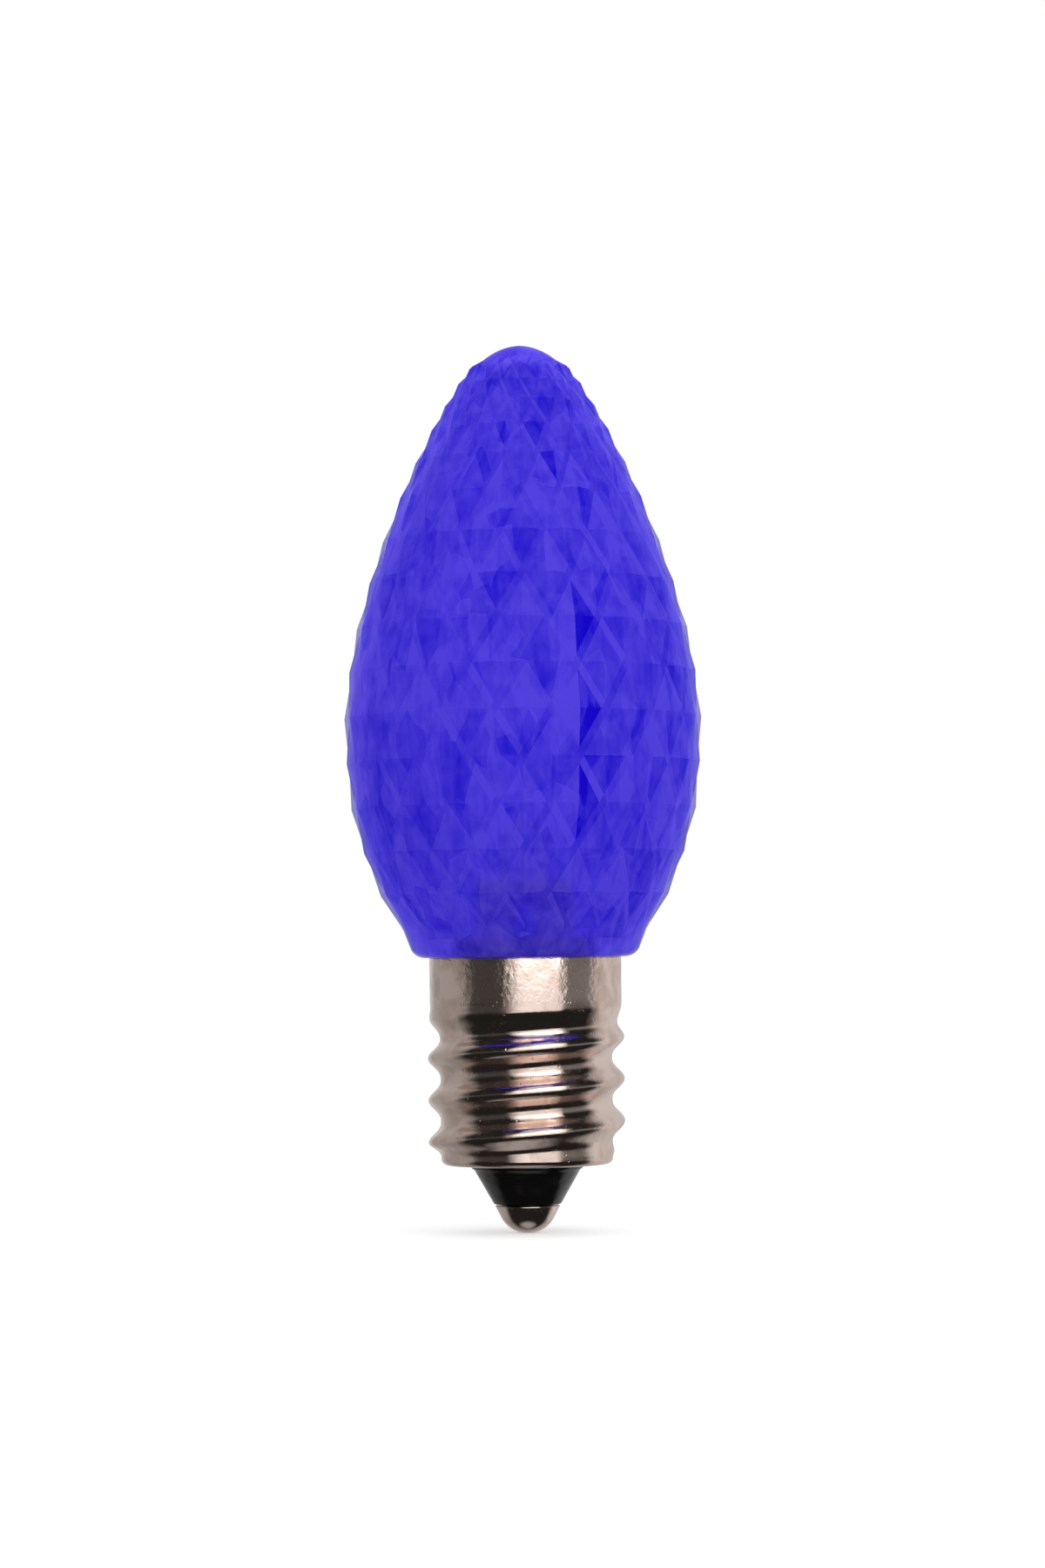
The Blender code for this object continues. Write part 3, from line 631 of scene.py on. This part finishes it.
def make_screw_shell(material):
    """The rolled sheet, finely divided inside and out. Its rim goes up into the lens's rebate."""
    bm = bmesh.new()

    def plain_rings(points):
        return [ring(bm, radius, height, SHELL_COLUMNS) for radius, height in points]

    rim = REBATE_DEPTH - RIM_SEAM
    rim_edge = arc(SHELL_BAND_RADIUS - RIM_ROUND, rim - RIM_ROUND, RIM_ROUND, pi / 2, 0.0, RIM_STEPS)
    corner = SHELL_BEND + SHELL_THICKNESS
    bend_radius = SHELL_FOOT_RADIUS - corner
    foot_height = shell_low.z + corner
    bend = arc(bend_radius, foot_height, corner, 0.0, -pi / 2, BEND_STEPS)
    hole = CONE_RADIUS + CONE_SEAM
    foot_inside = shell_low.z + SHELL_THICKNESS
    turned_in = [*bend[1:], (hole, shell_low.z), (hole, foot_inside), (bend_radius, foot_inside)]
    rings = plain_rings([(SHELL_BAND_RADIUS - SHELL_THICKNESS, rim), *rim_edge])
    rings += thread_rings(bm, foot_height, 0.0)
    rings += plain_rings(turned_in)
    rings += reversed(thread_rings(bm, foot_height, SHELL_THICKNESS))
    rings.append(rings[0])
    join_rings(bm, rings)
    item = add_object("rolled_shell", bm, material, smooth_angle=SHELL_SMOOTH_ANGLE)
    stand_for(item, "screw_shell")


def cone_radius(height):
    """Outside of the insulator's cone, which the contact carries on."""
    return CONE_RADIUS - (shell_low.z - height) * tan(CONE_ANGLE)


def turn(name, profile, material):
    """Spins a profile of radius and height round the axis. One that starts off the axis is closed."""
    bm = bmesh.new()
    rings = [ring(bm, radius, height, TURN_SEGMENTS) for radius, height in profile]
    if len(rings[0]) > 1:
        rings.append(rings[0])
    join_rings(bm, rings)
    return add_object(name, bm, material)


def make_insulator(material):
    """A disc inside the shell, the cone below it with a soft upper edge, and a spigot in the contact."""
    cone_bottom = contact_high.z + CONE_SEAM
    spigot_radius = cone_radius(cone_low.z) - CONTACT_THICKNESS / cos(CONE_ANGLE) - CONE_SEAM
    disc_radius = cone_high.x
    disc_bottom = shell_low.z + SHELL_THICKNESS + CONE_SEAM
    edge_height = shell_low.z - CONE_EDGE * tan(CONE_ANGLE / 2)
    edge = arc(CONE_RADIUS - CONE_EDGE, edge_height, CONE_EDGE, 0.0, -CONE_ANGLE, BEND_STEPS)
    slope = np.linspace(edge[-1][1], cone_bottom, CONE_LEVELS + 1)[1:]
    profile = [(LEAD_HOLE, cone_high.z), (disc_radius, cone_high.z), (disc_radius, disc_bottom)]
    profile += [(CONE_RADIUS, disc_bottom), *edge]
    profile += [(cone_radius(height), height) for height in slope]
    profile += [(spigot_radius, cone_bottom), (spigot_radius, cone_low.z), (LEAD_HOLE, cone_low.z)]
    item = turn("glass_cone", profile, material)
    stand_for(item, "insulator")


def dome(radius, base):
    """The contact's dome from its small flat out to the cone's slope, as radius and height."""
    start = np.arcsin(CONTACT_FLAT_RADIUS / radius)
    angles = np.linspace(start, pi / 2 - CONE_ANGLE, DOME_STEPS + 1)
    return [(radius * sin(a), base + radius * (cos(start) - cos(a))) for a in angles]


def make_contact(material):
    """Pressed cup that carries on the cone, with a rounded lip on top and the dome below."""
    wall = CONTACT_THICKNESS / cos(CONE_ANGLE)
    floor_height = contact_low.z + CONTACT_THICKNESS
    lip_height = contact_high.z - CONTACT_LIP
    lip_centre = cone_radius(lip_height) - CONTACT_LIP
    lip = arc(lip_centre, lip_height, CONTACT_LIP, 0.0, pi / 2, BEND_STEPS)
    inside = dome(CONTACT_DOME - CONTACT_THICKNESS, floor_height)
    profile = [(0.0, contact_low.z), *dome(CONTACT_DOME, contact_low.z), *lip]
    profile += [(cone_radius(contact_high.z) - wall, contact_high.z), *reversed(inside)]
    profile.append((0.0, floor_height))
    item = turn("contact_cup", profile, material)
    stand_for(item, "centre_contact")


class Nodes:
    """Short calls for the kinds of shader node that the materials and the world use."""

    def __init__(self, tree):
        self.tree = tree
        self.place = None

    def add(self, kind, **settings):
        """A node with some of its properties set."""
        node = self.tree.nodes.new(kind)
        for name, value in settings.items():
            setattr(node, name, value)
        return node

    def put(self, value, socket):
        """Links an output to a socket, or sets the socket to a plain value."""
        if isinstance(value, bpy.types.NodeSocket):
            self.tree.links.new(value, socket)
        else:
            socket.default_value = value

    def maths(self, operation, first, second=0.0):
        """A sum, product or the like of two values."""
        node = self.add("ShaderNodeMath", operation=operation)
        self.put(first, node.inputs[0])
        self.put(second, node.inputs[1])
        return node.outputs[0]

    def dot(self, vector, direction):
        """How far a vector goes in a direction."""
        node = self.add("ShaderNodeVectorMath", operation="DOT_PRODUCT")
        self.put(vector, node.inputs[0])
        node.inputs[1].default_value = direction
        return node.outputs["Value"]

    def span(self, value, low, high, first=0.0, last=1.0):
        """Carries low..high smoothly over to first..last."""
        node = self.add("ShaderNodeMapRange", interpolation_type="SMOOTHSTEP")
        names = ("Value", "From Min", "From Max", "To Min", "To Max")
        for name, number in zip(names, (value, low, high, first, last)):
            self.put(number, node.inputs[name])
        return node.outputs["Result"]

    def blend(self, factor, first, second):
        """The first value where the factor is 0, and the second where it is 1."""
        node = self.add("ShaderNodeMix", data_type="FLOAT")
        sockets = (node.inputs[0], node.inputs[2], node.inputs[3])
        for socket, value in zip(sockets, (factor, first, second)):
            self.put(value, socket)
        return node.outputs[0]

    def colours(self, factor, first, second):
        """The same as blend, for two colours."""
        node = self.add("ShaderNodeMix", data_type="RGBA")
        self.put(factor, node.inputs[0])
        node.inputs[6].default_value = (*first, 1.0)
        node.inputs[7].default_value = (*second, 1.0)
        return node.outputs[2]

    def position(self):
        """The piece's own coordinates, in metres."""
        if self.place is None:
            self.place = self.add("ShaderNodeTexCoord").outputs["Object"]
        return self.place

    def coordinate(self, axis):
        """One of the piece's own coordinates, in metres."""
        node = self.add("ShaderNodeSeparateXYZ")
        self.put(self.position(), node.inputs[0])
        return node.outputs[axis]

    def texture(self, kind, size, stretch):
        """A texture. Its features are about size metres, longer along an axis whose stretch is under 1."""
        mapping = self.add("ShaderNodeMapping")
        self.put(self.position(), mapping.inputs["Vector"])
        mapping.inputs["Scale"].default_value = stretch
        node = self.add(kind)
        self.put(mapping.outputs["Vector"], node.inputs["Vector"])
        node.inputs["Scale"].default_value = 1.0 / size
        return node

    def noise(self, size, detail=2.0, distortion=0.0, stretch=NO_STRETCH):
        """Smooth noise."""
        node = self.texture("ShaderNodeTexNoise", size, stretch)
        node.inputs["Detail"].default_value = detail
        node.inputs["Distortion"].default_value = distortion
        return node.outputs[0]

    def spots(self, size, share):
        """Scattered round spots, 1 in their middles. Share is their radius over the size of their cells."""
        node = self.texture("ShaderNodeTexVoronoi", size, NO_STRETCH)
        return self.span(node.outputs["Distance"], 0.0, share, 1.0, 0.0)

    def patches(self, size, stretch):
        """A random value for each of many patches with straight edges."""
        node = self.texture("ShaderNodeTexVoronoi", size, stretch)
        channels = self.add("ShaderNodeSeparateColor")
        self.put(node.outputs["Color"], channels.inputs[0])
        return channels.outputs[0]

    def bump(self, height, depth, under=None):
        """A normal for a height of 0 to 1 that stands for depth metres."""
        node = self.add("ShaderNodeBump")
        node.inputs["Distance"].default_value = depth
        self.put(height, node.inputs["Height"])
        if under is not None:
            self.put(under, node.inputs["Normal"])
        return node.outputs["Normal"]


def start_material(name, **settings):
    """A material with one Principled BSDF. The settings are its sockets, by name, with _ for a space."""
    material = bpy.data.materials.new(name)
    material.use_nodes = True
    shader = material.node_tree.nodes["Principled BSDF"]
    for socket, value in settings.items():
        shader.inputs[socket.replace("_", " ")].default_value = value
    return material, Nodes(material.node_tree), shader


def blue_lens():
    """Tinted plastic, half clear. Each face has its painted light and shade, which evens out towards the
    left. Soft cloud, straight-edged patches and fine upright streaks move it, and the surface has slight
    waves."""
    material, nodes, shader = start_material(
        "blue_lens", IOR=LENS_IOR, Transmission_Weight=LENS_CLEAR_SHARE
    )
    # The tone attribute is each face's painted light and shade, evened out towards the left
    tone = nodes.add("ShaderNodeAttribute", attribute_name="tone").outputs["Fac"]
    fading = nodes.span(nodes.coordinate("X"), LENS_FADE_TO, LENS_FADE_FROM, LENS_FADE_SHARE, 0.0)
    tone = nodes.blend(fading, tone, CROSSING_TONE)
    cloud = nodes.noise(CLOUD_SIZE, detail=3.0, distortion=0.4)
    patches = nodes.patches(PATCH_SIZE, UPRIGHT_PATCHES)
    streaks = nodes.noise(STREAK_SIZE, stretch=UPRIGHT_STREAKS)
    layers = (
        nodes.span(cloud, *NOISE_RANGE, -CLOUD_TONE, CLOUD_TONE),
        nodes.span(patches, 0.0, 1.0, -PATCH_TONE, PATCH_TONE),
        nodes.span(streaks, *NOISE_RANGE, -STREAK_TONE, STREAK_TONE),
    )
    for layer in layers:
        tone = nodes.maths("ADD", tone, layer)
    nodes.put(nodes.colours(tone, LENS_DEEP, LENS_PALE), shader.inputs["Base Color"])
    smears = nodes.noise(SMEAR_SIZE)
    nodes.put(nodes.span(smears, *NOISE_RANGE, *LENS_ROUGHNESS), shader.inputs["Roughness"])
    waves = nodes.bump(nodes.noise(WAVE_SIZE, detail=1.0), WAVE_DEPTH)
    nodes.put(nodes.bump(streaks, STREAK_DEPTH, waves), shader.inputs["Normal"])
    return material


def nickel_plate():
    """Thin polished plate on rolled sheet: haze from handling, dents, grain, pits, and a scuffed band."""
    material, nodes, shader = start_material("nickel_plate", Metallic=1.0)
    haze = nodes.span(nodes.noise(HAZE_SIZE, detail=4.0, distortion=0.5), *HAZE_RANGE)
    nodes.put(nodes.colours(haze, NICKEL_BRIGHT, NICKEL_WARM), shader.inputs["Base Color"])
    grain = nodes.noise(GRAIN_SIZE, detail=3.0)
    hazy = nodes.span(haze, 0.0, 1.0, *HAZE_ROUGHNESS)
    grainy = nodes.span(grain, *GRAIN_RANGE, 0.0, GRAIN_ROUGHNESS)
    nodes.put(nodes.maths("ADD", hazy, grainy), shader.inputs["Roughness"])
    surface = nodes.bump(nodes.noise(DENT_SIZE), DENT_DEPTH)
    surface = nodes.bump(grain, GRAIN_DEPTH, surface)
    surface = nodes.bump(nodes.spots(PIT_CELL, PIT_SHARE), -PIT_DEPTH, surface)
    on_band = nodes.span(nodes.coordinate("Z"), band_low - SCUFF_EDGE, band_low)
    scuffs = nodes.maths("MULTIPLY", nodes.noise(SCUFF_SIZE, detail=4.0), on_band)
    nodes.put(nodes.bump(scuffs, SCUFF_DEPTH, surface), shader.inputs["Normal"])
    return material


def black_glass():
    """Opaque black glass, fire-polished, with faint ripples and a little dust haze."""
    material, nodes, shader = start_material("black_glass", IOR=GLASS_IOR)
    dust = nodes.span(nodes.noise(DUST_SIZE, detail=4.0), *DUST_RANGE)
    nodes.put(nodes.colours(dust, GLASS_CLEAN, GLASS_DUSTY), shader.inputs["Base Color"])
    nodes.put(nodes.span(dust, 0.0, 1.0, *GLASS_ROUGHNESS), shader.inputs["Roughness"])
    ripples = nodes.noise(RIPPLE_SIZE, detail=1.0, stretch=LEVEL_RIPPLES)
    nodes.put(nodes.bump(ripples, RIPPLE_DEPTH), shader.inputs["Normal"])
    return material


def plain_material(name, dark, light, roughness, grain, depth, **settings):
    """A fine-grained surface between two close colours."""
    material, nodes, shader = start_material(name, **settings)
    mottle = nodes.span(nodes.noise(MOTTLE_TO_GRAIN * grain, detail=3.0), *NOISE_RANGE)
    nodes.put(nodes.colours(mottle, dark, light), shader.inputs["Base Color"])
    smoothest = (1 - ROUGHNESS_SPREAD) * roughness
    roughest = (1 + ROUGHNESS_SPREAD) * roughness
    nodes.put(nodes.span(mottle, 0.0, 1.0, smoothest, roughest), shader.inputs["Roughness"])
    nodes.put(nodes.bump(nodes.noise(grain), depth), shader.inputs["Normal"])
    return material


def inner_materials():
    """Plain finishes by name, for the solids inside."""
    finishes = {
        "black_plastic": dict(
            dark=(0.012, 0.012, 0.013), light=(0.03, 0.03, 0.032),
            roughness=0.4, grain=0.0001, depth=0.000006,
        ),
        "clear_resin": dict(
            dark=(0.74, 0.77, 0.86), light=(0.86, 0.88, 0.95),
            roughness=0.08, grain=0.0003, depth=0.000004, IOR=1.5, Transmission_Weight=0.6,
        ),
        "tinned_wire": dict(
            dark=(0.6, 0.6, 0.6), light=(0.76, 0.76, 0.76),
            roughness=0.25, grain=0.0001, depth=0.000003, Metallic=1.0,
        ),
        "board_laminate": dict(
            dark=(0.02, 0.12, 0.05), light=(0.04, 0.2, 0.09),
            roughness=0.4, grain=0.00015, depth=0.000008,
        ),
        "resistor_coat": dict(
            dark=(0.42, 0.3, 0.16), light=(0.55, 0.4, 0.23),
            roughness=0.5, grain=0.00012, depth=0.000006,
        ),
        "solder": dict(
            dark=(0.5, 0.5, 0.52), light=(0.66, 0.66, 0.68),
            roughness=0.28, grain=0.0002, depth=0.00001, Metallic=1.0,
        ),
    }
    return {name: plain_material(name, **finish) for name, finish in finishes.items()}


def dress_inner_nodes():
    """The solids inside keep their meshes and get their finishes."""
    materials = inner_materials()
    finish_of = {
        "led_holder": "black_plastic",
        "led": "clear_resin",
        "anode_lead": "tinned_wire",
        "cathode_lead": "tinned_wire",
        "circuit_board": "board_laminate",
        "series_resistor": "resistor_coat",
        "rectifier_diode": "black_plastic",
        "side_wire": "tinned_wire",
        "shell_solder": "solder",
    }
    for node, finish in finish_of.items():
        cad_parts[node].material_slots[0].material = materials[finish]


def make_camera():
    """Level with the lens's underside. A shift brings the sight height to the picture's middle."""
    picture_height = PHOTO_HEIGHT / PIXELS_PER_METRE
    data = bpy.data.cameras.new("camera")
    data.sensor_width = SENSOR
    data.lens = SENSOR * CAMERA_DISTANCE / picture_height
    data.shift_x = CAMERA_SHIFT_RIGHT / picture_height
    data.shift_y = (SIGHT_HEIGHT - EYE_HEIGHT) / picture_height
    data.clip_start = CAMERA_CLIP_START
    camera = bpy.data.objects.new("camera", data)
    bpy.context.scene.collection.objects.link(camera)
    level = Vector((0.0, 1.0, 0.0)).to_track_quat("-Z", "Y").to_matrix().to_4x4()
    eye = Matrix.Translation((0.0, -CAMERA_DISTANCE, EYE_HEIGHT))
    camera.matrix_world = eye @ level @ Matrix.Rotation(CAMERA_ROLL, 4, "Z")
    bpy.context.scene.camera = camera


def card_light(nodes, across, rise):
    """The dark cards: paler to the right at mid height, almost black above and below, grey at the floor."""
    level = nodes.span(across, *CARD_ACROSS, CARD_LEFT, CARD_RIGHT)
    level = nodes.blend(nodes.span(rise, *CARD_LOW_RISE), CARD_LOW, level)
    level = nodes.blend(nodes.span(rise, *CARD_HIGH_RISE), level, CARD_HIGH)
    return nodes.blend(nodes.span(rise, *CARD_LOWEST_RISE, 1.0, 0.0), level, CARD_LOWEST)


def card_share(nodes, facing, rise):
    """1 where a card stands and 0 elsewhere. The cards reach further round above and below."""
    reach = nodes.maths("MULTIPLY", nodes.maths("ABSOLUTE", rise), CARD_REACH)
    covered = nodes.maths("ADD", facing, reach)
    return nodes.span(covered, CARD_EDGE - CARD_SOFTNESS, CARD_EDGE + CARD_SOFTNESS)


def softbox_light(nodes, rise):
    """The softbox: brightest at mid height and dimmest at its top."""
    level = nodes.span(rise, *SOFTBOX_MIDDLE_RISE, SOFTBOX_LEVEL, SOFTBOX_MIDDLE_LEVEL)
    return nodes.blend(nodes.span(rise, *SOFTBOX_TOP_RISE), level, SOFTBOX_TOP_LEVEL)


def softbox_share(nodes, direction, rise):
    """1 in the softbox and 0 outside, with soft sides that stand upright."""
    azimuth = FRONT_AZIMUTH + SOFTBOX_TURN
    toward = nodes.dot(direction, (cos(azimuth), sin(azimuth), 0.0))
    aside = nodes.dot(direction, (-sin(azimuth), cos(azimuth), 0.0))
    aside = nodes.maths("DIVIDE", aside, nodes.maths("MAXIMUM", toward, SOFTBOX_LEAST_AHEAD))
    from_left = nodes.span(aside, tan(SOFTBOX_LEFT), tan(SOFTBOX_LEFT_INNER))
    from_right = nodes.span(aside, tan(SOFTBOX_RIGHT_INNER), tan(SOFTBOX_RIGHT), 1.0, 0.0)
    from_below = nodes.span(rise, sin(SOFTBOX_LOW) - SOFTBOX_EDGE, sin(SOFTBOX_LOW))
    from_above = nodes.span(rise, sin(SOFTBOX_HIGH), sin(SOFTBOX_HIGH) + SOFTBOX_EDGE, 1.0, 0.0)
    inside = nodes.maths("MULTIPLY", from_left, from_right)
    between = nodes.maths("MULTIPLY", from_below, from_above)
    ahead = nodes.span(toward, *SOFTBOX_AHEAD)
    return nodes.maths("MULTIPLY", nodes.maths("MULTIPLY", inside, between), ahead)


def wall_light(nodes, across, facing, rise):
    """The pale walls: brighter to the right, even at the back, and darker far below."""
    level = nodes.span(across, *WALL_ACROSS, WALL_LEFT, WALL_RIGHT)
    level = nodes.blend(nodes.span(facing, *WALL_BACK, 1.0, 0.0), level, BACK_LEVEL)
    return nodes.maths("MULTIPLY", level, nodes.span(rise, *WALL_DOWN_RISE, DOWN_LEVEL, 1.0))


def make_world():
    """White for the camera, even for matt surfaces, and for gloss a studio: dark cards in front, a tall
    softbox between them, pale walls at the sides and behind. It depends on the room's directions alone."""
    world = bpy.data.worlds.new("studio")
    world.use_nodes = True
    bpy.context.scene.world = world
    nodes = Nodes(world.node_tree)
    direction = nodes.add("ShaderNodeTexCoord").outputs["Generated"]
    across = nodes.dot(direction, (1.0, 0.0, 0.0))
    rise = nodes.dot(direction, (0.0, 0.0, 1.0))
    azimuth = FRONT_AZIMUTH + CARD_TURN
    facing = nodes.dot(direction, (cos(azimuth), sin(azimuth), 0.0))

    card = card_light(nodes, across, rise)
    on_card = card_share(nodes, facing, rise)
    softbox = softbox_light(nodes, rise)
    on_softbox = softbox_share(nodes, direction, rise)
    walls = wall_light(nodes, across, facing, rise)
    mirrored = nodes.blend(on_softbox, nodes.blend(on_card, walls, card), softbox)
    through = nodes.blend(on_softbox, nodes.blend(on_card, 1.0, card), softbox)

    path = nodes.add("ShaderNodeLightPath")
    strength = nodes.blend(path.outputs["Is Glossy Ray"], ROOM_LEVEL, mirrored)
    strength = nodes.blend(path.outputs["Is Transmission Ray"], strength, through)
    strength = nodes.blend(path.outputs["Is Camera Ray"], strength, 1.0)
    background = world.node_tree.nodes["Background"]
    background.inputs["Color"].default_value = (1.0, 1.0, 1.0, 1.0)
    nodes.put(strength, background.inputs["Strength"])


def make_lamp():
    """Soft key light from the upper right in front."""
    data = bpy.data.lights.new("key_softbox", "AREA")
    data.shape = "RECTANGLE"
    data.size = KEY_WIDTH
    data.size_y = KEY_HEIGHT
    data.energy = KEY_POWER
    lamp = bpy.data.objects.new("key_softbox", data)
    bpy.context.scene.collection.objects.link(lamp)
    azimuth = FRONT_AZIMUTH + KEY_TURN
    away = Vector((cos(azimuth) * cos(KEY_RISE), sin(azimuth) * cos(KEY_RISE), sin(KEY_RISE)))
    lamp.rotation_mode = "QUATERNION"
    lamp.rotation_quaternion = away.to_track_quat("Z", "Y")
    lamp.location = Vector((0.0, 0.0, SIGHT_HEIGHT)) + KEY_DISTANCE * away


def make_floor():
    """Pale floor, which keeps its shadow. It glows a little for the camera and through the lens."""
    bm = bmesh.new()
    bmesh.ops.create_grid(bm, x_segments=1, y_segments=1, size=FLOOR_SIZE / 2)
    grey = (FLOOR_GREY, FLOOR_GREY, FLOOR_GREY, 1.0)
    material, nodes, shader = start_material("pale_floor", Base_Color=grey, Specular_IOR_Level=0.0)
    mottle = nodes.noise(FLOOR_MOTTLE)
    nodes.put(nodes.span(mottle, 0.0, 1.0, *FLOOR_ROUGHNESS), shader.inputs["Roughness"])
    path = nodes.add("ShaderNodeLightPath")
    seen = nodes.maths("MAXIMUM", path.outputs["Is Camera Ray"], path.outputs["Is Transmission Ray"])
    shader.inputs["Emission Color"].default_value = (1.0, 1.0, 1.0, 1.0)
    nodes.put(nodes.maths("MULTIPLY", seen, FLOOR_GLOW), shader.inputs["Emission Strength"])
    floor = add_object("pale_floor", bm, material)
    floor.location.z = contact_low.z
    floor.visible_glossy = False


nickel = nickel_plate()
make_lens(blue_lens())
make_screw_shell(nickel)
make_insulator(black_glass())
make_contact(nickel)
dress_inner_nodes()
make_camera()
make_world()
make_lamp()
make_floor()
bpy.context.scene.view_settings.view_transform = "Standard"
